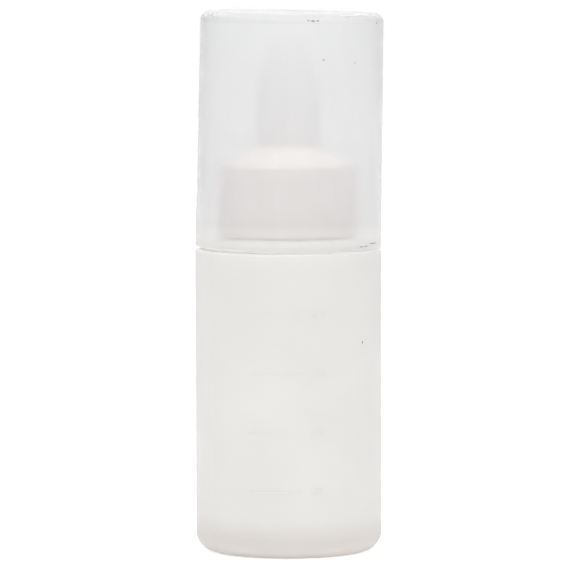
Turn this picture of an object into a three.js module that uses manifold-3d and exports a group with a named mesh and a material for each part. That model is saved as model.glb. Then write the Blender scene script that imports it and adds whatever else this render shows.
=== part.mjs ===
// A graduated squeeze bottle with a screw cap, a bullet nozzle and a see-through push-on cover.
// Millimetres, +Z up. The origin is the middle of the surface that the bottle stands on, and the
// volume marks face -Y.
import * as THREE from "three";
import { mergeVertices } from "three/addons/utils/BufferGeometryUtils.js";
import Module from "manifold-3d";

const wasm = await Module();
wasm.setup();

// Round forms
const roundSides = 48;
const flatness = 0.12; // how far an outline's chord may lie inside its arc

// Bottle body
const bottleRadius = 30;
const ledgeHeight = 97.5; // the cover's rim stands here
const bottleWall = 1.0;
const heelRadius = 6.2; // rounded edge between the base and the side
const standingWidth = 3.2; // flat ring that the bottle stands on
const pushUpDepth = 2.2; // the base is hollowed by this much in the middle
const ledgeRound = 0.6;

// Seat that the cover is pushed over, and the shoulder above it
const seatHeight = 2.8;
const seatRound = 1.0;
const shoulderRise = 1.5;
const shoulderBulge = 0.45; // the shoulder is convex by this much

// Neck
const neckRadius = 18.6;
const neckWall = 1.6;
const neckHeight = 21; // from the top of the shoulder to the lip
const neckRound = 1.0; // where the neck leaves the shoulder
const lipRound = 0.4;

// Screw thread, right-handed, on the neck and in the cap
const threadPitch = 4.0;
const threadTurns = 1.25;
const threadDepth = 1.2;
const threadRootWidth = 2.0;
const threadCrestWidth = 1.0;
const threadFadeTurns = 0.08; // each end of a ridge fades out over this part of a turn
const threadBelowLip = 3.2; // from the lip down to the middle of the ridge's upper end
const ridgeSink = 0.5; // the ridge's root is sunk in the wall by this much

// Sealing ring between the lip and the cap
const ringThickness = 1.2;
const ringOverlap = 0.25; // how far the ring reaches inside the lip

// Screw cap
const capWall = 1.5;
const capRibDepth = 0.35;
const capRibWidth = 0.9;
const capRibCount = 48;
const capTopThickness = 1.7;
const capCornerRadius = 3.0;
const capBeadHeight = 2.3;
const capBeadStep = 0.2; // the bead stands out past the ribs
const capDomeRise = 4.5;
const capDomeBulge = 0.5;

// Nozzle, moulded with the cap
const nozzleRadius = 10.2;
const nozzleHeight = 34.6; // from the foot of the nozzle to its tip
const nozzleStraight = 9.6; // below the ogive
const nozzleTaper = 0.1;
const ogiveRadius = 55;
const nozzleWall = 1.5;
const nozzleFootRound = 1.0;
const tipRound = 0.8;
const tipThickness = 2.2;
const outletRadius = 1.2;

// Push-on cover
const coverHeight = 75.7;
const coverWall = 1.4;
const coverTopThickness = 1.6;
const coverTopRound = 2.9;
const coverDraft = 0.55; // the cover is this much smaller in radius at its top
const coverRimRound = 0.35;

// Volume marks: raised lines on the front, one for each 50 ml
const markHeights = [21.8, 40.7, 59.6, 78.5];
const markLeft = -13.3;
const markRight = 4.6;
const markWidth = 0.5;
const markRelief = 0.25;

// Fits
const seatGap = 0.3; // between pieces that touch
const threadGap = 0.4; // between a thread's crest and the wall that faces it
const flankGap = 0.35; // between the two threads where the cap pulls on the neck

// Sizes and places that follow
const coverInnerRadius = bottleRadius - coverWall;
const seatRadius = coverInnerRadius - seatGap;
const seatTop = ledgeHeight + seatHeight;
const neckFoot = seatTop + shoulderRise;
const lipTop = neckFoot + neckHeight;
const neckBore = neckRadius - neckWall;
const neckThreadCrest = neckRadius + threadDepth;
const capBore = neckThreadCrest + threadGap;
const ringBottom = lipTop + seatGap;
const ringTop = ringBottom + ringThickness;
const capCeiling = ringTop + seatGap;
const capTop = capCeiling + capTopThickness;
const capRibRoot = capBore + capWall - capRibDepth;
const capFoot = neckFoot + neckRound / 2;
const nozzleFoot = capTop + capDomeRise;
const nozzleTip = nozzleFoot + nozzleHeight;
const coverRim = ledgeHeight + seatGap;
const coverTop = coverRim + coverHeight;
const threadRise = threadPitch * threadTurns;
const threadMeanWidth = (threadRootWidth + threadCrestWidth) / 2;
const neckThreadLow = lipTop - threadBelowLip - threadRise;
const capThreadLow = neckThreadLow - threadMeanWidth - flankGap;

const radians = THREE.MathUtils.degToRad;
const at = (radius, height) => new THREE.Vector2(radius, height);

// Points on a circle, from one angle to another in degrees, both ends included.
function arc(centre, radius, from, to) {
  const widest = THREE.MathUtils.radToDeg(2 * Math.acos(1 - Math.min(1, flatness / radius)));
  const steps = Math.ceil(Math.abs(to - from) / widest);
  return Array.from({ length: steps + 1 }, (_, i) => {
    const angle = radians(from + ((to - from) * i) / steps);
    return at(centre.x + radius * Math.cos(angle), centre.y + radius * Math.sin(angle));
  });
}

// Points on the circle through two ends that stands off their chord by bulge, to the left of the way
// from start to end, both ends included.
function bow(start, end, bulge, steps) {
  const chord = end.clone().sub(start);
  const half = chord.length() / 2;
  const radius = (half * half + bulge * bulge) / (2 * bulge);
  const left = at(-chord.y, chord.x).normalize();
  const centre = start.clone().add(end).multiplyScalar(0.5).addScaledVector(left, bulge - radius);
  const first = Math.atan2(start.y - centre.y, start.x - centre.x);
  const last = Math.atan2(end.y - centre.y, end.x - centre.x);
  return Array.from({ length: steps + 1 }, (_, i) => {
    const angle = first + ((last - first) * i) / steps;
    return at(
      centre.x + Math.abs(radius) * Math.cos(angle),
      centre.y + Math.abs(radius) * Math.sin(angle),
    );
  });
}

// A closed geometry as a solid that can be joined and cut.
function solid(geometry) {
  geometry.deleteAttribute("normal");
  geometry.deleteAttribute("uv");
  const merged = mergeVertices(geometry, 1e-4);
  return new wasm.Manifold(
    new wasm.Mesh({
      numProp: 3,
      vertProperties: new Float32Array(merged.attributes.position.array),
      triVerts: new Uint32Array(merged.index.array),
    }),
  );
}

// An outline of radius and height, turned round the Z axis. The solid lies to the left of its way.
function turned(outline) {
  return solid(new THREE.LatheGeometry(outline, roundSides).rotateX(Math.PI / 2));
}

function mesh(name, body, material) {
  const { numProp, numVert, vertProperties, triVerts } = body.getMesh();
  const positions = new Float32Array(numVert * 3);
  for (let i = 0; i < numVert; i++) {
    positions.set(vertProperties.subarray(i * numProp, i * numProp + 3), i * 3);
  }
  const geometry = new THREE.BufferGeometry();
  geometry.setAttribute("position", new THREE.BufferAttribute(positions, 3));
  geometry.setIndex(new THREE.BufferAttribute(new Uint32Array(triVerts), 1));
  geometry.computeVertexNormals();
  const made = new THREE.Mesh(geometry, material);
  made.name = name;
  return made;
}

// A thread's ridge: its section is extruded straight, and then wound up the Z axis. It stands out from
// the wall for a depth over 0, and into the bore for one under 0.
function threadRidge(wallRadius, depth, lowEnd) {
  const root = -Math.sign(depth) * ridgeSink;
  const section = new THREE.Shape([
    at(-threadRootWidth / 2, root),
    at(threadRootWidth / 2, root),
    at(threadCrestWidth / 2, depth),
    at(-threadCrestWidth / 2, depth),
  ]);
  const steps = Math.round(roundSides * threadTurns);
  const geometry = new THREE.ExtrudeGeometry(section, {
    depth: threadTurns,
    steps,
    bevelEnabled: false,
  });
  const position = geometry.getAttribute("position");
  for (let i = 0; i < position.count; i++) {
    const turn = position.getZ(i);
    const fade = Math.min(1, turn / threadFadeTurns, (threadTurns - turn) / threadFadeTurns);
    const onCrest = position.getY(i) * depth > 0;
    const standing = onCrest ? depth * fade + (root / 2) * (1 - fade) : root;
    const angle = turn * 2 * Math.PI;
    position.setXYZ(
      i,
      (wallRadius + standing) * Math.cos(angle),
      (wallRadius + standing) * Math.sin(angle),
      lowEnd + position.getX(i) + turn * threadPitch,
    );
  }
  return solid(geometry);
}

// One raised line, an arc of the bottle's side as thick as its relief.
function markLine(height) {
  const innerRadius = bottleRadius - bottleWall / 2;
  const outerRadius = bottleRadius + markRelief;
  const from = Math.asin(markLeft / bottleRadius) - Math.PI / 2;
  const to = Math.asin(markRight / bottleRadius) - Math.PI / 2;
  const outline = new THREE.Shape();
  outline.absarc(0, 0, outerRadius, from, to, false);
  outline.absarc(0, 0, innerRadius, to, from, true);
  const geometry = new THREE.ExtrudeGeometry(outline, {
    depth: markWidth,
    bevelEnabled: false,
    curveSegments: 6,
  });
  geometry.translate(0, 0, height - markWidth / 2);
  return solid(geometry);
}

// The blown bottle: base, side, cover seat, shoulder and threaded neck in one wall.
function bottle() {
  const heel = at(bottleRadius - heelRadius, heelRadius);
  const ringInside = heel.x - standingWidth;
  const seatEdge = at(seatRadius - seatRound, seatTop - seatRound);
  const neckEdge = at(neckRadius + neckRound, neckFoot + neckRound);
  const side = ledgeHeight - ledgeRound;
  const shoulder = (from, to, bulge) => bow(from.at(-1), to[0], bulge, 3).slice(1, -1);
  const seatOutside = arc(seatEdge, seatRound, 0, 66);
  const neckOutside = arc(neckEdge, neckRound, -88, -180);
  const outside = [
    ...bow(at(0, pushUpDepth), at(ringInside, 0), pushUpDepth / 4, 3),
    ...arc(heel, heelRadius, -90, 0),
    ...arc(at(bottleRadius - ledgeRound, side), ledgeRound, 0, 90),
    at(seatRadius, ledgeHeight),
    ...seatOutside,
    ...shoulder(seatOutside, neckOutside, -shoulderBulge),
    ...neckOutside,
    ...arc(at(neckRadius - lipRound, lipTop - lipRound), lipRound, 0, 90),
  ];
  const inner = bottleRadius - bottleWall;
  const seatInner = seatRadius - bottleWall;
  const seatInnerEdge = at(seatInner - seatRound, seatTop - bottleWall - seatRound);
  const neckInside = arc(neckEdge, neckRound + neckWall, -180, -88);
  const seatInside = arc(seatInnerEdge, seatRound, 66, 0);
  const inside = [
    ...arc(at(neckBore + lipRound, lipTop - lipRound), lipRound, 90, 180),
    ...neckInside,
    ...shoulder(neckInside, seatInside, shoulderBulge),
    ...seatInside,
    at(seatInner, ledgeHeight - bottleWall),
    ...arc(at(inner - ledgeRound, side - bottleWall), ledgeRound, 90, 0),
    ...arc(heel, heelRadius - bottleWall, 0, -90),
    ...bow(at(ringInside, bottleWall), at(0, pushUpDepth + bottleWall), -pushUpDepth / 4, 3),
  ];
  const wall = turned([...outside, ...inside]);
  const threaded = wall.add(threadRidge(neckRadius, threadDepth, neckThreadLow));
  return markHeights.reduce((made, height) => made.add(markLine(height)), threaded);
}

// The washer that the cap presses on the lip.
function sealingRing() {
  const inside = neckBore - ringOverlap;
  const outside = capBore - threadGap;
  return turned([
    at(inside, ringBottom),
    at(outside, ringBottom),
    at(outside, ringTop),
    at(inside, ringTop),
    at(inside, ringBottom),
  ]);
}

// One grip rib of the cap's skirt, standing at angle 0.
function capRib() {
  const section = new THREE.Shape([
    at(capRibRoot - capWall / 2, -capRibWidth / 2),
    at(capRibRoot, -capRibWidth / 2),
    at(capRibRoot + capRibDepth, -capRibWidth / 6),
    at(capRibRoot + capRibDepth, capRibWidth / 6),
    at(capRibRoot, capRibWidth / 2),
    at(capRibRoot - capWall / 2, capRibWidth / 2),
  ]);
  const low = capFoot + capBeadHeight / 2;
  const high = capTop - capCornerRadius;
  const geometry = new THREE.ExtrudeGeometry(section, { depth: high - low, bevelEnabled: false });
  return solid(geometry.translate(0, 0, low));
}

// The screw cap with its domed top and hollow bullet nozzle, moulded in one.
function screwCap() {
  const beadRadius = capRibRoot + capRibDepth + capBeadStep;
  const corner = at(capRibRoot - capCornerRadius, capTop - capCornerRadius);
  const domeEdge = at(corner.x, capTop);
  const domeEnd = at(nozzleRadius + nozzleFootRound, nozzleFoot - nozzleFootRound / 2);
  const domeInside = at(nozzleRadius - nozzleWall, nozzleFoot - nozzleWall / 2);
  const ceilingEdge = at(neckBore - ringOverlap, capCeiling);
  const ogiveFoot = nozzleFoot + nozzleStraight;
  const ogiveCentre = at(nozzleRadius - nozzleTaper - ogiveRadius, ogiveFoot);
  const outerEnd = THREE.MathUtils.radToDeg(Math.asin((nozzleTip - tipRound - ogiveFoot) / ogiveRadius));
  const innerRadius = ogiveRadius - nozzleWall;
  const innerTop = nozzleTip - tipThickness;
  const innerEnd = THREE.MathUtils.radToDeg(Math.asin((innerTop - ogiveFoot) / innerRadius));
  const tipEdge = ogiveCentre.x + ogiveRadius * Math.cos(radians(outerEnd));
  const ogive = (radius, from, to) => {
    const steps = 5;
    return Array.from({ length: steps + 1 }, (_, i) => {
      const angle = radians(from + ((to - from) * i) / steps);
      return at(
        ogiveCentre.x + radius * Math.cos(angle),
        ogiveCentre.y + radius * Math.sin(angle),
      );
    });
  };
  const inside = [
    at(outletRadius, innerTop),
    ...ogive(innerRadius, innerEnd, 0),
    ...bow(domeInside, ceilingEdge, capDomeBulge, 4),
    at(capBore, capCeiling),
    at(capBore, capFoot),
  ];
  const outside = [
    at(beadRadius, capFoot),
    at(beadRadius, capFoot + capBeadHeight - capBeadStep),
    at(capRibRoot, capFoot + capBeadHeight),
    ...arc(corner, capCornerRadius, 0, 90),
    ...bow(domeEdge, domeEnd, -capDomeBulge, 4).slice(1),
    at(nozzleRadius, nozzleFoot + nozzleFootRound / 2),
    ...ogive(ogiveRadius, 0, outerEnd),
    at(tipEdge - tipRound / 3, nozzleTip - tipRound / 3),
    at(tipEdge - tipRound, nozzleTip),
    at(outletRadius, nozzleTip),
  ];
  const outline = [...inside, ...outside];
  const body = turned([...outline, outline[0]]).add(threadRidge(capBore, -threadDepth, capThreadLow));
  const rib = capRib();
  const ribs = Array.from({ length: capRibCount }, (_, i) =>
    rib.rotate([0, 0, (360 * (i + 0.5)) / capRibCount]),
  );
  return ribs.reduce((made, next) => made.add(next), body);
}

// The see-through cover: a plain deep cup, upside down, with a little draft.
function cover() {
  const topRadius = bottleRadius - coverDraft;
  const corner = at(topRadius - coverTopRound, coverTop - coverTopRound);
  const innerRound = Math.max(coverTopRound - coverWall, 0.2);
  const innerCorner = at(topRadius - coverWall - innerRound, coverTop - coverTopThickness - innerRound);
  const rimEdge = coverRim + coverRimRound;
  return turned([
    at(0, coverTop - coverTopThickness),
    ...arc(innerCorner, innerRound, 90, 0),
    at(coverInnerRadius, coverRim),
    at(bottleRadius - coverRimRound, coverRim),
    at(bottleRadius, rimEdge),
    ...arc(corner, coverTopRound, 0, 90),
    at(0, coverTop),
  ]);
}

const milkyPlastic = new THREE.MeshStandardMaterial({
  color: 0xeae9e7,
  roughness: 0.5,
  metalness: 0,
});
const whitePlastic = new THREE.MeshStandardMaterial({
  color: 0xf1eeeb,
  roughness: 0.45,
  metalness: 0,
});
const softPlastic = new THREE.MeshStandardMaterial({
  color: 0xe3e3e1,
  roughness: 0.7,
  metalness: 0,
});
const clearPlastic = new THREE.MeshStandardMaterial({
  color: 0xf0f2f3,
  roughness: 0.2,
  metalness: 0,
  transparent: true,
  opacity: 0.35,
});

const part = new THREE.Group();
part.add(
  mesh("bottle", bottle(), milkyPlastic),
  mesh("sealing_ring", sealingRing(), softPlastic),
  mesh("screw_cap", screwCap(), whitePlastic),
  mesh("cover", cover(), clearPlastic),
);

export default part;
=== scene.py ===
"""Dresses a packed squeeze bottle: a milky graduated body, a screw cap with a bullet nozzle, its
sealing ring and a hazy see-through cover, on a plain white floor. Metres, +Z up, marks facing -Y."""

import math
import random

import bpy
from bpy.props import FloatProperty, FloatVectorProperty, IntProperty, PointerProperty
from mathutils import Matrix, Vector


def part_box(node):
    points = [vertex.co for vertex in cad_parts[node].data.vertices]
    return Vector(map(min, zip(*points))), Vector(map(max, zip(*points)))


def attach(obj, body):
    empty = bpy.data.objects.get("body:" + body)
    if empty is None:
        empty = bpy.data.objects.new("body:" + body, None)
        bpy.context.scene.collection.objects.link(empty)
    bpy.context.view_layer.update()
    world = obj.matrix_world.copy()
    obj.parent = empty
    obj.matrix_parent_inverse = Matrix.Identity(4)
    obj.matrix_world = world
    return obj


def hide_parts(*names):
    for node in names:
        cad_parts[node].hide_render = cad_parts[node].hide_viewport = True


bl_info = {
    "name": "Squeeze Bottle",
    "version": (1, 0, 0),
    "blender": (4, 5, 0),
    "location": "View3D > Sidebar > Bottle",
    "description": "Builds the pieces, finishes and stage of a graduated squeeze bottle",
    "category": "Add Mesh",
}

MM = 0.001
WHITE = (1.0, 1.0, 1.0)
SIDES = 168  # corners in a turn of the body and the ring
ARC_STEPS = 7  # straight pieces in a fillet's arc

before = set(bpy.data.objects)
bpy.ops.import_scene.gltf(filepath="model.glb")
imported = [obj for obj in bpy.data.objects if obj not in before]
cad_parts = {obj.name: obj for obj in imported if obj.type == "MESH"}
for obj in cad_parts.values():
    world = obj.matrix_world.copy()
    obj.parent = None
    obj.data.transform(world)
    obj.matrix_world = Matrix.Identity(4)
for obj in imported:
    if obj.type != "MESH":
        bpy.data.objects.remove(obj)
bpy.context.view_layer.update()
BOTTLE_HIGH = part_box("bottle")[1]
RING_LOW, RING_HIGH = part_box("sealing_ring")
CAP_LOW, CAP_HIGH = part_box("screw_cap")
COVER_LOW, COVER_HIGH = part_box("cover")


def length(name, text, default_mm):
    """A length property in metres, whose default is given in millimetres."""
    default = default_mm * MM
    return FloatProperty(
        name=name, description=text, default=default, precision=5, subtype="DISTANCE", unit="LENGTH"
    )


def turning(name, text, default):
    """An angle property in radians."""
    return FloatProperty(name=name, description=text, default=default, subtype="ANGLE")


def share(name, text, default):
    """A property from 0 to 1."""
    return FloatProperty(name=name, description=text, default=default, min=0.0, max=1.0)


def colour(name, text, default):
    """A linear colour property."""
    return FloatVectorProperty(
        name=name, description=text, default=default, size=3, min=0.0, max=1.0, subtype="COLOR"
    )


# Sizes and colours that a user may change


class BottleSettings(bpy.types.PropertyGroup):
    """The blown bottle"""

    ledge: length("Ledge height", "Where the cover's rim stands", 97.5)
    wall: length("Wall", "Thickness of the blown wall", 1.0)
    heel: length("Heel radius", "Rounded edge between the base and the side", 6.2)
    standing: length("Standing width", "Width of the flat ring that the bottle stands on", 3.2)
    push_up: length("Push-up", "How far the base is hollowed in the middle", 2.2)
    seat_radius: length("Seat radius", "Radius of the band that the cover is pushed over", 28.3)
    seat_height: length("Seat height", "Height of that band", 2.8)
    shoulder: length("Shoulder rise", "Rise of the shoulder up to the neck", 1.75)
    bulge: length("Shoulder bulge", "How much the shoulder is convex", 0.45)
    neck_radius: length("Neck radius", "Outer radius of the neck under its thread", 18.6)
    neck_wall: length("Neck wall", "Thickness of the neck", 1.6)
    seam_height: length("Parting ridge", "How far the mould's parting line stands out", 0.14)
    seam_half: turning("Parting width", "Half of the ridge's width, from the axis", math.radians(0.45))
    seam_angle: turning("Parting angle", "Turn of the mould's parting line from the side", math.radians(38.4))
    glow: share("Light through", "Share of light that goes through the wall", 0.5)
    colour: colour("Body colour", "Milky body", (0.917, 0.911, 0.899))
    # Painted shade: up to this height the body is painted darker, in the base shade tone
    thick_base: length("Thick base", "Up to this height the thicker base shows through the wall", 12.5)
    base_tone: colour("Base tone", "Tone of the thick base against the rest of the body", (0.93, 0.91, 0.9))


class ThreadSettings(bpy.types.PropertyGroup):
    """The screw thread on the neck and in the cap"""

    pitch: length("Pitch", "Climb in one turn", 4.0)
    depth: length("Depth", "Height of the ridge", 1.2)
    root: length("Root width", "Width of the ridge at its foot", 2.0)
    crest: length("Crest width", "Width of the ridge at its top", 1.0)
    below_lip: length("Below the lip", "From the lip to the ridge's upper end", 3.2)
    flank_gap: length("Flank gap", "Between the two ridges", 0.35)
    turns: FloatProperty(name="Turns", description="Length of the ridge in turns", default=1.25, min=0.5)
    sink: length("Sink", "How deep the ridge's root lies in the wall", 0.4)


class MarkSettings(bpy.types.PropertyGroup):
    """The raised volume marks"""

    first: length("First mark", "Height of the lowest line", 21.8)
    step: length("Step", "Height from one line to the next", 18.9)
    left: length("Line start", "Left end of the lines, from the middle", -13.3)
    right: length("Line end", "Right end of the lines, from the middle", 4.6)
    line: length("Line width", "Height of a line on the side", 0.5)
    relief: length("Relief", "How far the lines stand out", 0.25)
    sink: length("Sink", "How deep the marks' roots lie in the wall", 0.1)
    end: length("Line ends", "Length of the ramp at each end of a line", 0.4)
    fade: share("Fade", "Share of the relief by which each line is lower than the one under it", 0.17)
    digits_relief: length("Number relief", "How far the numbers stand out", 0.16)
    digits: length("Number height", "Height of the numbers", 2.8)
    digits_middle: length("Number place", "Middle of the numbers, from the middle of the front", 9.2)
    count: IntProperty(name="Marks", description="How many marks there are", default=4, min=1)
    volume: IntProperty(name="Volume step", description="Volume of one step, in millilitres", default=50)


class CapSettings(bpy.types.PropertyGroup):
    """The screw cap and its nozzle"""

    wall: length("Wall", "Thickness of the skirt", 1.5)
    bore: length("Bore", "Inner radius of the skirt", 20.2)
    ceiling: length("Ceiling", "Gap over the sealing ring", 0.3)
    top: length("Top thickness", "Thickness of the top beside the dome", 1.7)
    corner: length("Corner radius", "Rounded edge of the top", 3.0)
    bead: length("Bead height", "Height of the plain bead at the foot", 2.3)
    bead_step: length("Bead step", "How far the bead stands out past the ribs", 0.2)
    rib_depth: length("Rib depth", "Height of the grip ribs", 0.35)
    rib_width: length("Rib width", "Width of a grip rib at its foot", 0.9)
    rib_ramp: length("Rib ramp", "Height of the ramp at a rib's lower end", 0.4)
    ribs: IntProperty(name="Ribs", description="How many grip ribs there are", default=48, min=12)
    dome: length("Dome rise", "Height of the dome", 4.5)
    nozzle: length("Nozzle radius", "Radius at the foot of the nozzle", 10.2)
    straight: length("Straight part", "Height of the nozzle below its bullet form", 9.6)
    ogive: length("Bullet radius", "Radius of the curve of the bullet form", 55.0)
    nozzle_wall: length("Nozzle wall", "Thickness of the nozzle", 1.5)
    tip: length("Tip thickness", "Thickness of the nozzle's end", 2.2)
    outlet: length("Outlet radius", "Radius of the outlet hole", 1.2)
    glow: share("Light through", "Share of light that goes through the wall", 0.24)
    colour: colour("Cap colour", "Warm white of the cap", (0.985, 0.945, 0.92))
    # Painted shade: tones that darken the ribbed wall, the nozzle and the nozzle's tip
    rib_tone: colour("Rib tone", "Tone of the ribbed wall against the cap", (0.952, 0.952, 0.958))
    nozzle_tone: colour("Nozzle tone", "Tone of the thin nozzle against the cap", (0.93, 0.95, 0.97))
    tip_tone: colour("Tip tone", "Tone of the nozzle's tip against its foot", (0.95, 0.955, 0.96))


class SealSettings(bpy.types.PropertyGroup):
    """The sealing ring"""

    edge: length("Edge radius", "Rounded edges of the ring", 0.25)
    colour: colour("Seal colour", "Pale grey of the seal", (0.76, 0.76, 0.75))


class CoverSettings(bpy.types.PropertyGroup):
    """The see-through cover"""

    wall: length("Wall", "Thickness of the side", 1.4)
    top: length("Top thickness", "Thickness of the flat top", 1.6)
    corner: length("Corner radius", "Rounded edge of the top", 2.9)
    draft: length("Draft", "How much smaller the radius is at the top", 0.55)
    colour: colour("Cover colour", "Cool tint of the plastic", (0.955, 0.955, 0.955))
    touch: length("Lean point", "From the axis to the point that the cover leans about", 15.6)
    lean: turning("Lean", "The cover is pushed on a little askew", 0.0192)
    blur: share("Blur", "Roughness of what shows through", 0.2)
    haze: share("Haze", "Share of milk in the clear plastic", 0.3)
    milk: colour("Milk colour", "Colour of the haze", (0.86, 0.86, 0.86))
    # Painted light: a paler haze over the seat, which lifts the seat that shows behind it
    foot_milk: colour("Foot milk colour", "Colour of the haze over the seat", (0.955, 0.945, 0.935))
    inside: share("Light inside", "Share of light that a wall lets in", 0.975)
    depth: colour("Depth colour", "Tint of light that runs far through the plastic", (0.5, 0.52, 0.56))
    density: FloatProperty(name="Depth density", description="Strength of that tint", default=20.0, min=0.0)


class StageSettings(bpy.types.PropertyGroup):
    """Camera, light and floor"""

    distance: length("Camera distance", "From the bottle's axis, level", 1700.0)
    height: length("Camera height", "Above the floor", 219.0)
    aim: length("Aim height", "Height on the axis that the camera looks at", 85.25)
    aside: length("Camera offset", "To the side of the axis", -0.6)
    focal: FloatProperty(name="Focal length", description="In widths of the picture", default=9.23)
    roll: turning("Roll", "Turn of the camera round its view", -0.0025)
    light: share("Light", "Strength of the even light on the bottle", 0.73)
    light_left: colour("Light, left", "Tone of that light from the left", (0.76, 0.77, 0.79))
    light_right: colour("Light, right", "Tone of that light from the right", (0.83, 0.84, 0.86))
    mirror: share("Mirrored light", "Strength of what gloss and clear plastic show", 0.97)
    mirror_left: colour("Mirrored, left", "Tone of what shows from the left", (0.62, 0.625, 0.64))
    mirror_right: colour("Mirrored, right", "Tone of what shows from the right", (0.3, 0.305, 0.32))
    lamp_height: length("Lamp height", "Of the soft lamp above the floor", 1400.0)
    lamp_forward: length("Lamp place", "How far it stands in front of the bottle", 150.0)
    lamp_size: length("Lamp size", "Width of its square", 1200.0)
    lamp_power: FloatProperty(name="Lamp power", description="In watts", default=17.5, min=0.0)
    floor: length("Floor width", "Width of the square floor", 6000.0)
    floor_glow: share("Floor glow", "Light that the floor adds to its own colour", 0.55)


# Places and sizes of the specks in millimetres: across from the middle of the front, and up
SPECKS = {
    "cover_dash_left": {"on": "cover", "across": 5.1, "height": 171.5, "width": 0.9, "tall": 0.42},
    "cover_dash_middle": {"on": "cover", "across": 6.6, "height": 171.4, "width": 1.3, "tall": 0.46},
    "cover_dash_right": {"on": "cover", "across": 8.1, "height": 171.5, "width": 1.0, "tall": 0.44},
    "cover_spot_high": {"on": "cover", "across": 10.2, "height": 159.1, "width": 0.55, "tall": 0.5},
    "cover_spot_side": {"on": "cover", "across": 20.1, "height": 158.2, "width": 0.5, "tall": 0.4},
    "cover_spot_edge": {"on": "cover", "across": 27.0, "height": 170.6, "width": 1.0, "tall": 0.5},
    # Dark dashes along the right of the seat band, just above the cover's rim
    "rim_dash_left": {"on": "cover", "across": 23.3, "height": 99.5, "width": 1.4, "tall": 0.36},
    "rim_dash_middle": {"on": "cover", "across": 24.7, "height": 99.6, "width": 1.7, "tall": 0.36},
    "rim_dash_right": {"on": "cover", "across": 27.0, "height": 100.3, "width": 4.4, "tall": 0.28},
    "body_spot": {"on": "body", "across": 23.6, "height": 68.8, "width": 0.5, "tall": 0.9},
}

GROUPS = {
    "bottle_form": BottleSettings,
    "bottle_thread": ThreadSettings,
    "bottle_marks": MarkSettings,
    "bottle_cap": CapSettings,
    "bottle_seal": SealSettings,
    "bottle_cover": CoverSettings,
    "bottle_stage": StageSettings,
}


# Outlines and meshes


def rounded(corners, steps=ARC_STEPS):
    """An outline of (radius, height, fillet) corners, as points with each fillet drawn as an arc."""
    points = []
    last = len(corners) - 1
    for i, (r, z, fillet) in enumerate(corners):
        here = Vector((r, z))
        if not fillet or i in (0, last):
            points.append(here)
            continue
        before = (Vector(corners[i - 1][:2]) - here).normalized()
        after = (Vector(corners[i + 1][:2]) - here).normalized()
        half = before.angle(after) / 2
        reach = fillet / math.tan(half)
        centre = here + (before + after).normalized() * (fillet / math.sin(half))
        start = here + before * reach - centre
        end = here + after * reach - centre
        sweep = start.angle_signed(end)
        for k in range(steps + 1):
            turned_by = -sweep * k / steps
            cos, sin = math.cos(turned_by), math.sin(turned_by)
            points.append(centre + Vector((start.x * cos - start.y * sin, start.x * sin + start.y * cos)))
    return points


def bow(start, end, bulge, steps=10):
    """Points of a shallow arc from start to end, which stands off its chord to the left by bulge."""
    start, end = Vector(start), Vector(end)
    left = Vector((start.y - end.y, end.x - start.x)).normalized()
    return [
        start.lerp(end, k / steps) + left * bulge * (1 - (2 * k / steps - 1) ** 2) for k in range(steps + 1)
    ]


def new_piece(name, verts, faces, smooth_under=35):
    """A mesh object in the scene, smooth where its faces meet at less than an angle in degrees."""
    mesh = bpy.data.meshes.new(name)
    mesh.from_pydata([tuple(v) for v in verts], [], faces)
    mesh.validate()
    mesh.shade_smooth()
    mesh.set_sharp_from_angle(angle=math.radians(smooth_under))
    piece = bpy.data.objects.new(name, mesh)
    bpy.context.scene.collection.objects.link(piece)
    return piece


def turned(name, outline, sides=SIDES, angles=None, shift=None, closed=False):
    """A lathed piece. The solid lies to the left of the outline's way. An end on the axis is one
    vertex. shift(angle, index) gives an extra radius."""
    angles = angles or [2 * math.pi * k / sides for k in range(sides)]
    verts, rows = [], []
    for i, point in enumerate(outline):
        if point.x < 1e-7:
            rows.append([len(verts)] * len(angles))
            verts.append((0.0, 0.0, point.y))
            continue
        rows.append(list(range(len(verts), len(verts) + len(angles))))
        for angle in angles:
            r = point.x + (shift(angle, i) if shift else 0.0)
            verts.append((r * math.cos(angle), r * math.sin(angle), point.y))
    faces = []
    pairs = list(zip(rows, rows[1:])) + ([(rows[-1], rows[0])] if closed else [])
    for low, high in pairs:
        for k in range(len(angles)):
            n = (k + 1) % len(angles)
            ring = [low[k], low[n], high[n], high[k]]
            faces.append([v for j, v in enumerate(ring) if v != ring[j - 1]])
    return new_piece(name, verts, faces)


def ridge(name, wall_radius, depth, low_end, thread, steps=120, fade=0.1):
    """A thread's ridge wound up the axis, out from the wall for a depth over 0, and in under 0."""
    side = math.copysign(1.0, depth)
    sink = thread.sink * side
    section = [
        (-thread.root / 2, -sink),
        (thread.root / 2, -sink),
        (thread.root / 2 * 0.86, depth * 0.35),
        (thread.crest / 2, depth * 0.9),
        (thread.crest / 2 * 0.6, depth),
        (-thread.crest / 2 * 0.6, depth),
        (-thread.crest / 2, depth * 0.9),
        (-thread.root / 2 * 0.86, depth * 0.35),
    ]
    verts, faces = [], []
    count = len(section)
    for k in range(steps + 1):
        turn = thread.turns * k / steps
        height = min(1.0, turn / fade, (thread.turns - turn) / fade)
        for along, out in section:
            lifted = out if out * side < 0 else out * height - sink / 2 * (1 - height)
            radius = wall_radius + lifted
            angle = turn * 2 * math.pi
            verts.append(
                (radius * math.cos(angle), radius * math.sin(angle), low_end + along + turn * thread.pitch)
            )
    for k in range(steps):
        a, b = k * count, (k + 1) * count
        for j in range(count):
            n = (j + 1) % count
            faces.append((a + j, a + n, b + n, b + j) if side > 0 else (a + j, b + j, b + n, a + n))
    ends = [list(range(count)), list(range(steps * count, (steps + 1) * count))]
    faces.append(ends[0][::-1] if side > 0 else ends[0])
    faces.append(ends[1] if side > 0 else ends[1][::-1])
    return new_piece(name, verts, faces, 50)


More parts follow.
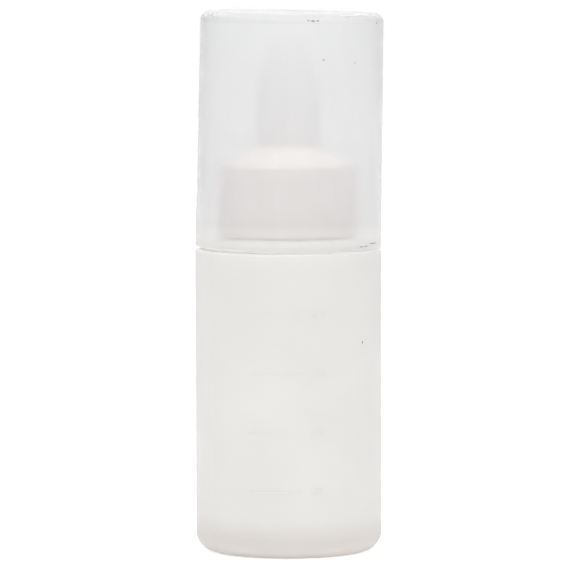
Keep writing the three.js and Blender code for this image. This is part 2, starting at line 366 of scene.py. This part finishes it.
def wrapped(mesh, radius):
    """Bends a flat mesh round the front of the bottle: x runs along the side, z up, and -y stands out."""
    for vertex in mesh.vertices:
        angle = vertex.co.x / radius
        out = radius - vertex.co.y
        vertex.co = Vector((out * math.sin(angle), -out * math.cos(angle), vertex.co.z))


def fuse(target, *others):
    """Joins the meshes of other pieces to one piece."""
    with bpy.context.temp_override(active_object=target, selected_editable_objects=[target, *others]):
        bpy.ops.object.join()
    return target


# Finishes


class Graph:
    """The nodes and links of a material or the world."""

    def __init__(self, owner):
        owner.use_nodes = True
        self.nodes = owner.node_tree.nodes
        self.links = owner.node_tree.links

    def add(self, kind, **values):
        node = self.nodes.new("ShaderNode" + kind)
        for key, value in values.items():
            setattr(node, key, value)
        return node

    def link(self, source, target):
        self.links.new(source, target)

    def feed(self, socket, value):
        """Gives a socket a number, a colour or another node's output."""
        if isinstance(value, bpy.types.NodeSocket):
            self.link(value, socket)
        elif isinstance(value, (int, float)):
            socket.default_value = value
        else:
            socket.default_value = (*value, 1.0)

    def span(self, source, low, high, from_low=0.3, from_high=0.7):
        """A range of a value, by default a noise's middle, mapped on low to high."""
        node = self.add("MapRange")
        ends = {"From Min": from_low, "From Max": from_high, "To Min": low, "To Max": high}
        for socket, value in ends.items():
            node.inputs[socket].default_value = value
        self.link(source, node.inputs["Value"])
        return node.outputs["Result"]

    def blend(self, factor, first, second):
        """A mix of two colours by a factor."""
        node = self.add("Mix", data_type="RGBA")
        for name, value in (("Factor", factor), ("A", first), ("B", second)):
            self.feed(node.inputs[name], value)
        return node.outputs["Result"]

    def times(self, first, second):
        """The product of two colours."""
        node = self.add("Mix", data_type="RGBA", blend_type="MULTIPLY")
        for name, value in (("Factor", 1.0), ("A", first), ("B", second)):
            self.feed(node.inputs[name], value)
        return node.outputs["Result"]

    def mixed(self, factor, first, second):
        """A node that mixes the shaders of two nodes."""
        node = self.add("MixShader")
        for socket, value in zip(node.inputs, (factor, first.outputs[0], second.outputs[0])):
            self.feed(socket, value)
        return node

    def any_ray(self, *kinds):
        """1 for a ray of one of these kinds, and else 0."""
        path = self.add("LightPath")
        flags = [path.outputs[f"Is {kind} Ray"] for kind in kinds]
        result = flags[0]
        for flag in flags[1:]:
            higher = self.add("Math", operation="MAXIMUM")
            self.link(result, higher.inputs[0])
            self.link(flag, higher.inputs[1])
            result = higher.outputs[0]
        return result


class Finish(Graph):
    """A new material, with what the finishes here share."""

    def __init__(self, name):
        self.material = bpy.data.materials.new(name)
        super().__init__(self.material)
        self.shader = self.nodes["Principled BSDF"]
        self.output = self.nodes["Material Output"]
        self.place = self.add("TexCoord").outputs["Object"]

    def noise(self, scale, detail=4.0, roughness=0.55, stretch=(1, 1, 1)):
        """Noise in object coordinates, which three factors stretch."""
        stretched = self.add("Mapping")
        stretched.inputs["Scale"].default_value = stretch
        self.link(self.place, stretched.inputs["Vector"])
        node = self.add("TexNoise")
        for name, value in (("Scale", scale), ("Detail", detail), ("Roughness", roughness)):
            node.inputs[name].default_value = value
        self.link(stretched.outputs["Vector"], node.inputs["Vector"])
        return node.outputs["Fac"]

    def rise(self, start, end, low=0, high=1):
        """A value that goes from low to high between two heights."""
        axes = self.add("SeparateXYZ")
        self.link(self.place, axes.inputs["Vector"])
        return self.span(axes.outputs["Z"], low, high, start, end)

    def bump(self, *layers):
        """Stacks (height, strength, distance) layers of bump and links them to the shader."""
        normal = None
        for height, strength, distance in layers:
            node = self.add("Bump")
            node.inputs["Strength"].default_value = strength
            node.inputs["Distance"].default_value = distance
            self.link(height, node.inputs["Height"])
            if normal:
                self.link(normal, node.inputs["Normal"])
            normal = node.outputs["Normal"]
        self.link(normal, self.shader.inputs["Normal"])

    def lit_through(self, tone, part):
        """Mixes in light from behind the wall."""
        through = self.add("BsdfTranslucent")
        self.link(tone, through.inputs["Color"])
        self.show(self.mixed(part, self.shader, through))

    def show(self, node):
        """Makes a node's shader the surface."""
        self.link(node.outputs[0], self.output.inputs["Surface"])

    def set(self, **values):
        for key, value in values.items():
            self.shader.inputs[key.replace("_", " ")].default_value = value


def shade(base, by):
    """A colour made darker or lighter by a factor."""
    return tuple(min(1.0, c * by) for c in base)


def milky_body(form):
    """Blown plastic: faint clouds of wall thickness, upright flow streaks and orange peel. Part of the
    light goes through the wall, and a painted shade makes the body darker towards the bottom."""
    f = Finish("milky_blown_plastic")
    clouds = f.noise(38.0, 3.0)
    streaks = f.noise(120.0, 4.0, stretch=(1, 1, 0.05))
    peel = f.noise(900.0, 2.0)
    tone = f.blend(f.span(clouds, 0, 1), shade(form.colour, 0.985), shade(form.colour, 1.012))
    # Painted shade: the body is painted darker towards the bottom, fully from half that height down
    thick = f.rise(form.thick_base / 2, form.thick_base, 1, 0)
    tone = f.times(tone, f.blend(thick, WHITE, form.base_tone))
    f.link(tone, f.shader.inputs["Base Color"])
    f.link(f.span(streaks, 0.36, 0.47), f.shader.inputs["Roughness"])
    f.bump((streaks, 0.12, 0.0003), (peel, 0.1, 0.00012))
    f.set(IOR=1.5)
    f.lit_through(tone, form.glow)
    return f.material


def white_cap(cap, rib_low, rib_high, nozzle_foot):
    """Moulded cap plastic with fine grain and faint flow marks. The ribbed wall is painted a little darker,
    and the thin nozzle is painted cooler and darker towards its tip: all of this is painted shade."""
    f = Finish("white_moulded_plastic")
    flow = f.noise(60.0, 3.0, stretch=(1, 1, 0.3))
    grain = f.noise(1600.0, 2.0)
    # Painted shade: masks by height for the ribbed wall, the nozzle and its tip, which are painted darker
    nozzle = f.rise(nozzle_foot - 1.0 * MM, nozzle_foot + 3.0 * MM)
    tip = f.rise(nozzle_foot + 6.0 * MM, CAP_HIGH.z)
    ribbed = f.add("Math", operation="MULTIPLY")
    f.link(f.rise(rib_low, rib_low + 2.0 * MM), ribbed.inputs[0])
    f.link(f.rise(rib_high - 2.0 * MM, rib_high, 1, 0), ribbed.inputs[1])
    tone = f.blend(f.span(flow, 0, 1), shade(cap.colour, 0.985), shade(cap.colour, 1.01))
    for part, by in ((nozzle, cap.nozzle_tone), (tip, cap.tip_tone), (ribbed.outputs[0], cap.rib_tone)):
        tone = f.times(tone, f.blend(part, WHITE, by))
    f.link(tone, f.shader.inputs["Base Color"])
    f.link(f.span(flow, 0.38, 0.46), f.shader.inputs["Roughness"])
    f.bump((grain, 0.08, 0.0001))
    f.set(IOR=1.49)
    f.lit_through(tone, cap.glow)
    return f.material


def soft_seal(base):
    """Soft seal: matt, with a powdery mottle."""
    f = Finish("soft_seal")
    mottle = f.noise(300.0, 5.0)
    f.link(f.blend(f.span(mottle, 0, 1), shade(base, 0.96), base), f.shader.inputs["Base Color"])
    f.link(f.span(mottle, 0.55, 0.7), f.shader.inputs["Roughness"])
    f.bump((mottle, 0.1, 0.0002))
    f.set(IOR=1.43)
    return f.material


def hazy_cover(cover):
    """Clear cover plastic with a milky haze: what lies behind it shows softly. A painted light makes it
    clearer and paler over the seat, and a painted shade makes it denser and greyer round its top.
    Light for the pieces inside goes straight through."""
    f = Finish("hazy_clear_plastic")
    flow = f.noise(45.0, 4.0, stretch=(1, 1, 0.25))
    # Painted light over the seat (foot) and painted shade round the top, which dims the top corner's
    # highlight
    foot = f.rise(COVER_LOW.z + 4.5 * MM, COVER_LOW.z + 9.0 * MM, 1, 0)
    crown_shade_mask = f.rise(COVER_HIGH.z - 3.2 * MM, COVER_HIGH.z - 1.0 * MM)
    foot_painted_light, crown_painted_shade, crown_milk_shade = (1.034,) * 3, (0.968,) * 3, (0.87,) * 3
    tint = f.blend(f.span(flow, 0, 1), shade(cover.colour, 0.99), cover.colour)
    tint = f.times(f.times(tint, f.blend(foot, WHITE, foot_painted_light)), f.blend(crown_shade_mask, WHITE, crown_painted_shade))
    f.link(tint, f.shader.inputs["Base Color"])
    f.link(f.span(flow, cover.blur * 0.9, cover.blur * 1.1), f.shader.inputs["Roughness"])
    f.bump((flow, 0.004, 0.0004))
    f.set(IOR=1.49, Transmission_Weight=1.0)

    # The haze too is painted paler over the seat and painted greyer round the top
    milk = f.times(f.blend(foot, cover.milk, cover.foot_milk), f.blend(crown_shade_mask, WHITE, crown_milk_shade))
    front, through = f.add("BsdfDiffuse"), f.add("BsdfTranslucent")
    for cloud in (front, through):
        f.link(milk, cloud.inputs["Color"])
    haze = f.mixed(0.88, front, through)
    seen = f.mixed(f.span(flow, cover.haze * 0.95, cover.haze * 1.05), f.shader, haze)
    passing = f.add("BsdfTransparent")
    f.feed(passing.inputs["Color"], (cover.inside,) * 3)
    f.show(f.mixed(f.any_ray("Shadow", "Diffuse"), seen, passing))
    depth = f.add("VolumeAbsorption")
    f.feed(depth.inputs["Color"], cover.depth)
    f.feed(depth.inputs["Density"], cover.density)
    f.link(depth.outputs[0], f.output.inputs["Volume"])
    return f.material


def dirt_speck():
    """Dark specks: dried dirt, and the dark dashes above the cover's rim."""
    f = Finish("dark_speck")
    mottle = f.noise(2500.0)
    dark, pale = (0.06, 0.058, 0.056), (0.14, 0.137, 0.132)
    f.link(f.blend(f.span(mottle, 0, 1), dark, pale), f.shader.inputs["Base Color"])
    f.link(f.span(mottle, 0.6, 0.8), f.shader.inputs["Roughness"])
    f.set(IOR=1.45)
    return f.material


def dress(piece, material, body, slot, *replaced):
    """Gives a piece its finish, the body that it rides on and the nodes that it stands for."""
    piece.data.materials.clear()
    piece.data.materials.append(material)
    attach(piece, body)
    if replaced:
        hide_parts(*replaced)


# Places that several pieces share


def places(scene):
    """Heights that follow from the settings and the frame."""
    form, thread, cap = scene.bottle_form, scene.bottle_thread, scene.bottle_cap
    lip = BOTTLE_HIGH.z
    rise = thread.pitch * thread.turns
    neck_low = lip - thread.below_lip - rise
    ceiling = RING_HIGH.z + cap.ceiling
    return {
        "radius": BOTTLE_HIGH.x,
        "seat_top": form.ledge + form.seat_height,
        "neck_foot": form.ledge + form.seat_height + form.shoulder,
        "lip": lip,
        "bore": form.neck_radius - form.neck_wall,
        "neck_thread": neck_low,
        "cap_thread": neck_low - (thread.root + thread.crest) / 2 - thread.flank_gap,
        "ceiling": ceiling,
        "cap_top": ceiling + cap.top,
        "nozzle_foot": ceiling + cap.top + cap.dome,
    }


def cover_lean(cover):
    """The small turn by which the cover sits askew on the bottle."""
    point = Matrix.Translation((cover.touch, 0, COVER_LOW.z))
    return point @ Matrix.Rotation(cover.lean, 4, "Y") @ point.inverted()


class BOTTLE_OT_body(bpy.types.Operator):
    """Build the blown body with its threaded neck and parting line"""

    bl_idname = "bottle.body"
    bl_label = "Bottle body"

    def execute(self, context):
        form, thread = context.scene.bottle_form, context.scene.bottle_thread
        at = places(context.scene)
        radius, wall = at["radius"], form.wall
        ring_out = radius - form.heel
        ring_in = ring_out - form.standing
        hollow = bow((0, form.push_up), (ring_in, 0), form.push_up / 4)
        # The shoulder's arcs go without their end points, where the fillets are
        seat_edge, neck_edge = (form.seat_radius, at["seat_top"]), (form.neck_radius, at["neck_foot"])
        seat_inside = (form.seat_radius - wall, at["seat_top"] - wall)
        neck_inside = (at["bore"], at["neck_foot"] - wall * 1.3)
        outside = hollow[:-1] + rounded(
            [
                (*hollow[-1], 0),
                (radius, 0, form.heel),
                (radius, form.ledge, 0.6 * MM),
                (form.seat_radius, form.ledge, 0.2 * MM),
                (*seat_edge, 1.0 * MM),
                *[(*p, 0) for p in bow(seat_edge, neck_edge, -form.bulge)[2:-2]],
                (*neck_edge, 1.0 * MM),
                (form.neck_radius, at["lip"], 0.4 * MM),
                (at["bore"], at["lip"], 0.4 * MM),
                (*neck_inside, 1.6 * MM),
                *[(*p, 0) for p in bow(neck_inside, seat_inside, form.bulge)[3:-2]],
                (*seat_inside, 0.8 * MM),
                (form.seat_radius - wall, form.ledge - wall, 0.4 * MM),
                (radius - wall, form.ledge - wall, 0.6 * MM),
                (radius - wall, wall, form.heel - wall),
                (ring_in, wall, 0),
            ]
        )
        inner = bow((ring_in, wall), (0, form.push_up + wall), -form.push_up / 4)
        outline = outside + inner[1:]
        side_low = len(hollow)
        side_high = side_low + 2 * (ARC_STEPS + 1)
        seams = [form.seam_angle, form.seam_angle + math.pi]
        even = [2 * math.pi * k / SIDES for k in range(SIDES)]
        angles = [a for a in even if all(abs(a - s) > 2 * form.seam_half for s in seams)]
        angles += [s + form.seam_half * k / 2 for s in seams for k in range(-3, 4)]

        def seam(angle, index):
            if not side_low <= index <= side_high:
                return 0.0
            off = min(abs(angle - s) for s in seams) / form.seam_half
            return form.seam_height * max(0.0, 1 - off)

        body = turned("bottle_body", outline, angles=sorted(angles), shift=seam)
        thread_ridge = ridge("neck_thread", form.neck_radius, thread.depth, at["neck_thread"], thread)
        fuse(body, thread_ridge)
        dress(body, milky_body(form), "bottle", "milky_body", "bottle")
        return {"FINISHED"}


class BOTTLE_OT_marks(bpy.types.Operator):
    """Raise the volume lines and numbers on the front"""

    bl_idname = "bottle.marks"
    bl_label = "Volume marks"

    def execute(self, context):
        marks, form = context.scene.bottle_marks, context.scene.bottle_form
        radius = BOTTLE_HIGH.x
        material = milky_body(form)
        for n in range(marks.count):
            height = marks.first + n * marks.step
            volume = marks.volume * (n + 1)
            relief = marks.relief * (1 - marks.fade * n)
            line = self.line(marks, radius, height, relief, f"mark_line_{volume}")
            number = self.number(marks, radius, height, volume)
            for mark in (line, number):
                dress(mark, material, "bottle", "milky_body")
        return {"FINISHED"}

    def line(self, marks, radius, height, relief, name):
        """One raised line with a crowned section, swept along the side."""
        half = marks.line / 2
        section = [
            (-half, marks.sink),
            (-half * 0.8, -relief * 0.7),
            (0, -relief),
            (half * 0.8, -relief * 0.7),
            (half, marks.sink),
        ]
        steps = 36
        verts, faces = [], []
        for k in range(steps + 1):
            x = marks.left + (marks.right - marks.left) * k / steps
            end = min(1.0, (x - marks.left) / marks.end, (marks.right - x) / marks.end)
            verts += [(x, y if y > 0 else y * (0.15 + 0.85 * end), height + z) for z, y in section]
        count = len(section)
        for k in range(steps):
            a, b = k * count, (k + 1) * count
            for j in range(count):
                n = (j + 1) % count
                faces.append((a + j, b + j, b + n, a + n))
        faces.append(tuple(range(count)))
        faces.append(tuple(range(steps * count, (steps + 1) * count))[::-1])
        line = new_piece(name, verts, faces, 60)
        wrapped(line.data, radius)
        return line

    def number(self, marks, radius, height, volume):
        """A raised number, level with its line."""
        bevel = 0.04 * MM
        capital = 0.7  # height of a digit in font sizes
        name = f"mark_number_{volume}"
        curve = bpy.data.curves.new(name, "FONT")
        curve.body = str(volume)
        curve.size = marks.digits / capital
        curve.align_x, curve.align_y = "CENTER", "CENTER"
        curve.extrude = (marks.digits_relief + marks.sink) / 2 - bevel
        curve.bevel_depth = bevel
        curve.bevel_resolution = 1
        curve.resolution_u = 6
        text = bpy.data.objects.new(name, curve)
        collection = bpy.context.scene.collection
        collection.objects.link(text)
        bpy.context.view_layer.update()
        mesh = bpy.data.meshes.new_from_object(text.evaluated_get(bpy.context.evaluated_depsgraph_get()))
        bpy.data.objects.remove(text)
        bpy.data.curves.remove(curve)
        mesh.name = name
        upright = Matrix.Rotation(math.radians(90), 4, "X")
        middle = Vector((marks.digits_middle, (marks.sink - marks.digits_relief) / 2, height))
        mesh.transform(Matrix.Translation(middle) @ upright)
        wrapped(mesh, radius)
        number = bpy.data.objects.new(name, mesh)
        collection.objects.link(number)
        return number


class BOTTLE_OT_ring(bpy.types.Operator):
    """Build the sealing ring on the lip"""

    bl_idname = "bottle.ring"
    bl_label = "Sealing ring"

    def execute(self, context):
        seal = context.scene.bottle_seal
        edge = seal.edge
        inside = places(context.scene)["bore"] - edge
        outside = RING_HIGH.x
        middle = (inside + outside) / 2
        corners = [
            (middle, RING_LOW.z, 0),
            (outside, RING_LOW.z, edge),
            (outside, RING_HIGH.z, edge),
            (inside, RING_HIGH.z, edge),
            (inside, RING_LOW.z, edge),
            (middle, RING_LOW.z, 0),
        ]
        ring = turned("soft_ring", rounded(corners, 4)[:-1], closed=True)
        dress(ring, soft_seal(seal.colour), "sealing_ring", "soft_seal", "sealing_ring")
        return {"FINISHED"}


class BOTTLE_OT_cap(bpy.types.Operator):
    """Build the screw cap with its ribs, thread, dome and nozzle"""

    bl_idname = "bottle.cap"
    bl_label = "Screw cap and nozzle"

    def execute(self, context):
        cap, thread = context.scene.bottle_cap, context.scene.bottle_thread
        at = places(context.scene)
        foot, tip = CAP_LOW.z, CAP_HIGH.z
        crest = cap.bore + cap.wall
        skirt = crest - cap.rib_depth
        bead = crest + cap.bead_step
        ogive_foot = at["nozzle_foot"] + cap.straight
        ogive_middle = cap.nozzle - 0.1 * MM - cap.ogive

        def ogive(radius, top, steps=20):
            end = math.asin((top - ogive_foot) / radius)
            ways = [end * k / steps for k in range(1, steps + 1)]
            return [(ogive_middle + radius * math.cos(w), ogive_foot + radius * math.sin(w), 0) for w in ways]

        inner_top = tip - cap.tip
        inner = ogive(cap.ogive - cap.nozzle_wall, inner_top)[::-1]
        outer = ogive(cap.ogive, tip - 0.6 * MM)
        edge = outer[-1][0]
        dome_edge = (skirt - cap.corner, at["cap_top"])
        dome_top = (cap.nozzle, at["nozzle_foot"])
        ceiling_edge = (at["bore"] - 0.25 * MM, at["ceiling"])
        inside_top = (cap.nozzle - cap.nozzle_wall, at["nozzle_foot"] - 0.8 * MM)
        outline = rounded(
            [
                (cap.outlet, inner_top, 0),
                *inner,
                (*inside_top, 0.6 * MM),
                *[(*p, 0) for p in bow(inside_top, ceiling_edge, 0.5 * MM)[1:-1]],
                (*ceiling_edge, 0.5 * MM),
                (cap.bore, at["ceiling"], 0.3 * MM),
                (cap.bore, foot, 0.3 * MM),
                (bead, foot, 0.15 * MM),
                (bead, foot + cap.bead, 0.6 * MM),
                (skirt, foot + cap.bead, 0.3 * MM),
                (skirt, at["cap_top"], cap.corner),
                (*dome_edge, 0),
                *[(*p, 0) for p in bow(dome_edge, dome_top, -0.5 * MM)[1:-1]],
                (*dome_top, 1.2 * MM),
                (cap.nozzle - 0.1 * MM, ogive_foot, 0),
                *outer,
                (edge - 0.15 * MM, tip - 0.2 * MM, 0),
                (edge - 0.7 * MM, tip, 0.3 * MM),
                (cap.outlet, tip, 0.2 * MM),
                (cap.outlet, inner_top, 0),
            ]
        )[:-1]
        rib_low = foot + cap.bead + 0.3 * MM
        rib_high = at["cap_top"] - cap.corner * 0.75
        outline, ribbed = self.with_rib_rows(outline, skirt, rib_low, rib_high, cap.rib_ramp)

        period = 2 * math.pi / cap.ribs
        half = cap.rib_width / 2 / skirt
        offsets = (-half - period / 6, -half, -half / 3, half / 3, half, half + period / 6)
        angles = [period * (k + 0.5) + offset for k in range(cap.ribs) for offset in offsets]

        def ribs(angle, index):
            if index not in ribbed:
                return 0.0
            off = abs((angle % period) - period / 2)
            return cap.rib_depth * max(0.0, min(1.0, (half - off) / (half * 2 / 3)))

        body = turned("cap_body", outline, angles=angles, shift=ribs, closed=True)
        inner_thread = ridge("cap_thread", cap.bore, -thread.depth, at["cap_thread"], thread)
        fuse(body, inner_thread)
        finish = white_cap(cap, rib_low, rib_high, at["nozzle_foot"])
        dress(body, finish, "screw_cap", "white_cap", "screw_cap")
        return {"FINISHED"}

    def with_rib_rows(self, outline, skirt, low, high, ramp):
        """Adds rows to the skirt so that the ribs start and end in short ramps, and says which rows
        carry ribs."""
        above = next(i for i, p in enumerate(outline) if p.x > skirt - ramp and low - ramp < p.y < high)
        radius = outline[above - 1].x
        rows = [Vector((radius, z)) for z in (low, low + ramp, high - 0.5 * MM)]
        return outline[:above] + rows + outline[above:], {above + 1, above + 2}


class BOTTLE_OT_cover(bpy.types.Operator):
    """Build the see-through cover"""

    bl_idname = "bottle.cover"
    bl_label = "Cover"

    def execute(self, context):
        cover = context.scene.bottle_cover
        rim, top = COVER_LOW.z, COVER_HIGH.z
        radius = COVER_HIGH.x
        top_radius = radius - cover.draft
        inside = max(cover.corner - cover.wall, 0.3 * MM)
        corners = [
            (0, top - cover.top, 0),
            (top_radius - cover.wall, top - cover.top, inside),
            (radius - cover.wall, rim, 0.3 * MM),
            (radius, rim, 0.35 * MM),
            (top_radius, top, cover.corner),
            (0, top, 0),
        ]
        piece = turned("clear_cover", rounded(corners, 10), sides=216)
        piece.data.transform(cover_lean(cover))
        dress(piece, hazy_cover(cover), "cover", "clear_cover", "cover")
        return {"FINISHED"}


class BOTTLE_OT_specks(bpy.types.Operator):
    """Scatter the dark specks that the cover and the body carry: dirt, and dark dashes above the cover's rim
    """

    bl_idname = "bottle.specks"
    bl_label = "Dirt specks"

    def execute(self, context):
        scene = context.scene
        dirt = dirt_speck()
        rng = random.Random(7)
        for name, spot in SPECKS.items():
            piece = self.blob(name, spot, rng)
            across, height = spot["across"] * MM, spot["height"] * MM
            radius = self.radius(scene, spot["on"], height)
            turn = math.asin(across / radius)
            piece.data.transform(Matrix.Translation((radius * turn, 0, height)))
            wrapped(piece.data, radius)
            if spot["on"] == "cover":
                piece.data.transform(cover_lean(scene.bottle_cover))
            piece.data.materials.append(dirt)
            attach(piece, "cover" if spot["on"] == "cover" else "bottle")
        return {"FINISHED"}

    def radius(self, scene, surface, height):
        """Radius of the surface that a speck lies on, at a height."""
        cover = scene.bottle_cover
        if surface != "cover":
            return BOTTLE_HIGH.x
        part = (height - COVER_LOW.z) / (COVER_HIGH.z - COVER_LOW.z)
        over = max(0.0, height - (COVER_HIGH.z - cover.corner))
        inset = cover.corner - math.sqrt(cover.corner**2 - over**2)
        return COVER_HIGH.x - cover.draft * part - inset

    def blob(self, name, spot, rng):
        """A thin uneven blob, which faces the front."""
        around, rows = 14, 5
        thick = 0.09 * MM
        wobble = [rng.uniform(0.75, 1.15) for _ in range(around)]
        verts, faces = [(0, -thick, 0)], []
        for row in range(1, rows + 1):
            polar = math.pi * row / (rows + 1)
            for k in range(around):
                angle = 2 * math.pi * k / around
                out = math.sin(polar) * wobble[k]
                x = out * math.cos(angle) * spot["width"] * MM / 2
                z = out * math.sin(angle) * spot["tall"] * MM / 2
                verts.append((x, -thick * math.cos(polar), z))
        verts.append((0, thick, 0))
        last = len(verts) - 1
        for k in range(around):
            n = (k + 1) % around
            faces.append((0, 1 + n, 1 + k))
            faces.append((last, last - around + k, last - around + n))
            for row in range(rows - 1):
                a = 1 + row * around
                faces.append((a + k, a + n, a + around + n, a + around + k))
        return new_piece(name, verts, faces, 80)


class BOTTLE_OT_stage(bpy.types.Operator):
    """Set the camera, the light and the white floor"""

    bl_idname = "bottle.stage"
    bl_label = "Stage"

    def execute(self, context):
        stage = context.scene.bottle_stage
        self.camera(context.scene, stage)
        self.world(context.scene, stage)
        self.floor(stage)
        self.lamp(context.scene, stage)
        context.scene.view_settings.view_transform = "Standard"
        return {"FINISHED"}

    def camera(self, scene, stage):
        data = bpy.data.cameras.new("camera")
        data.lens = stage.focal * data.sensor_width
        data.clip_start, data.clip_end = 0.05, 20.0
        camera = bpy.data.objects.new("camera", data)
        scene.collection.objects.link(camera)
        eye = Vector((stage.aside, -stage.distance, stage.height))
        look = Vector((stage.aside, 0.0, stage.aim)) - eye
        turned_to = look.to_track_quat("-Z", "Y").to_matrix().to_4x4() @ Matrix.Rotation(stage.roll, 4, "Z")
        camera.matrix_world = Matrix.Translation(eye) @ turned_to
        scene.camera = camera

    def world(self, scene, stage):
        """Even white light that falls off to both sides, and pure white behind the bottle."""
        world = bpy.data.worlds.new("studio")
        scene.world = world
        sky = Graph(world)
        axes = sky.add("SeparateXYZ")
        sky.link(sky.add("TexCoord").outputs["Generated"], axes.inputs["Vector"])

        def falling(start, end, left, right):
            """White ahead, with a tone on either side that is full at a share of the way round."""
            tone = sky.blend(sky.span(axes.outputs["X"], 0, 1, start, end), WHITE, right)
            return sky.blend(sky.span(axes.outputs["X"], 0, 1, -start, -end), tone, left)

        light, mirrored, behind = sky.nodes["Background"], sky.add("Background"), sky.add("Background")
        for background, tone, strength in (
            (light, falling(0.35, 0.95, stage.light_left, stage.light_right), stage.light),
            (mirrored, falling(0.33, 0.6, stage.mirror_left, stage.mirror_right), stage.mirror),
            (behind, WHITE, 1.0),
        ):
            sky.feed(background.inputs["Color"], tone)
            sky.feed(background.inputs["Strength"], strength)
        unseen = sky.mixed(sky.any_ray("Glossy", "Transmission"), light, mirrored)
        whole = sky.mixed(sky.any_ray("Camera"), unseen, behind)
        sky.link(whole.outputs[0], sky.nodes["World Output"].inputs["Surface"])

    def floor(self, stage):
        """A pale floor, which glows a little, so that it looks as white as what lies behind."""
        half = stage.floor / 2
        verts = [(-half, -half, 0), (half, -half, 0), (half, half, 0), (-half, half, 0)]
        floor = new_piece("floor", verts, [(0, 1, 2, 3)])
        f = Finish("white_floor")
        f.link(f.blend(f.noise(4.0), (0.8, 0.8, 0.8), (0.82, 0.82, 0.82)), f.shader.inputs["Base Color"])
        f.set(Roughness=0.9)
        glow = f.add("Emission")
        f.feed(glow.inputs["Strength"], stage.floor_glow)
        seen = f.any_ray("Camera", "Glossy", "Transmission")
        f.feed(glow.inputs["Color"], f.blend(seen, (0.6, 0.6, 0.6), WHITE))
        summed = f.add("AddShader")
        for socket, node in zip(summed.inputs, (f.shader, glow)):
            f.link(node.outputs[0], socket)
        f.show(summed)
        floor.data.materials.append(f.material)

    def lamp(self, scene, stage):
        """One large soft lamp over the bottle, which leaves no bright spot on gloss."""
        data = bpy.data.lights.new("soft_top", "AREA")
        data.size = stage.lamp_size
        data.energy = stage.lamp_power
        lamp = bpy.data.objects.new("soft_top", data)
        scene.collection.objects.link(lamp)
        lamp.visible_transmission = False
        lamp.visible_glossy = False
        lamp.location = (0.0, -stage.lamp_forward, stage.lamp_height)
        aim = Vector((0, 0, 0.09)) - lamp.location
        lamp.rotation_mode = "QUATERNION"
        lamp.rotation_quaternion = aim.to_track_quat("-Z", "Y")


STEPS = (
    BOTTLE_OT_stage,
    BOTTLE_OT_body,
    BOTTLE_OT_marks,
    BOTTLE_OT_ring,
    BOTTLE_OT_cap,
    BOTTLE_OT_cover,
    BOTTLE_OT_specks,
)


class BOTTLE_PT_panel(bpy.types.Panel):
    """Steps and settings of the bottle"""

    bl_label = "Squeeze bottle"
    bl_idname = "BOTTLE_PT_panel"
    bl_space_type = "VIEW_3D"
    bl_region_type = "UI"
    bl_category = "Bottle"

    def draw(self, context):
        layout = self.layout
        for step in STEPS:
            layout.operator(step.bl_idname)
        for attribute, group in GROUPS.items():
            box = layout.box()
            box.label(text=group.__doc__)
            settings = getattr(context.scene, attribute)
            for name in group.__annotations__:
                box.prop(settings, name)


CLASSES = (*GROUPS.values(), *STEPS, BOTTLE_PT_panel)


def register():
    for cls in CLASSES:
        bpy.utils.register_class(cls)
    for attribute, group in GROUPS.items():
        setattr(bpy.types.Scene, attribute, PointerProperty(type=group))


def unregister():
    for attribute in GROUPS:
        delattr(bpy.types.Scene, attribute)
    for cls in reversed(CLASSES):
        bpy.utils.unregister_class(cls)


def main():
    """Registers the add-on and builds everything in order."""
    register()
    for step in STEPS:
        group, name = step.bl_idname.split(".")
        getattr(getattr(bpy.ops, group), name)()


if __name__ == "__main__":
    main()
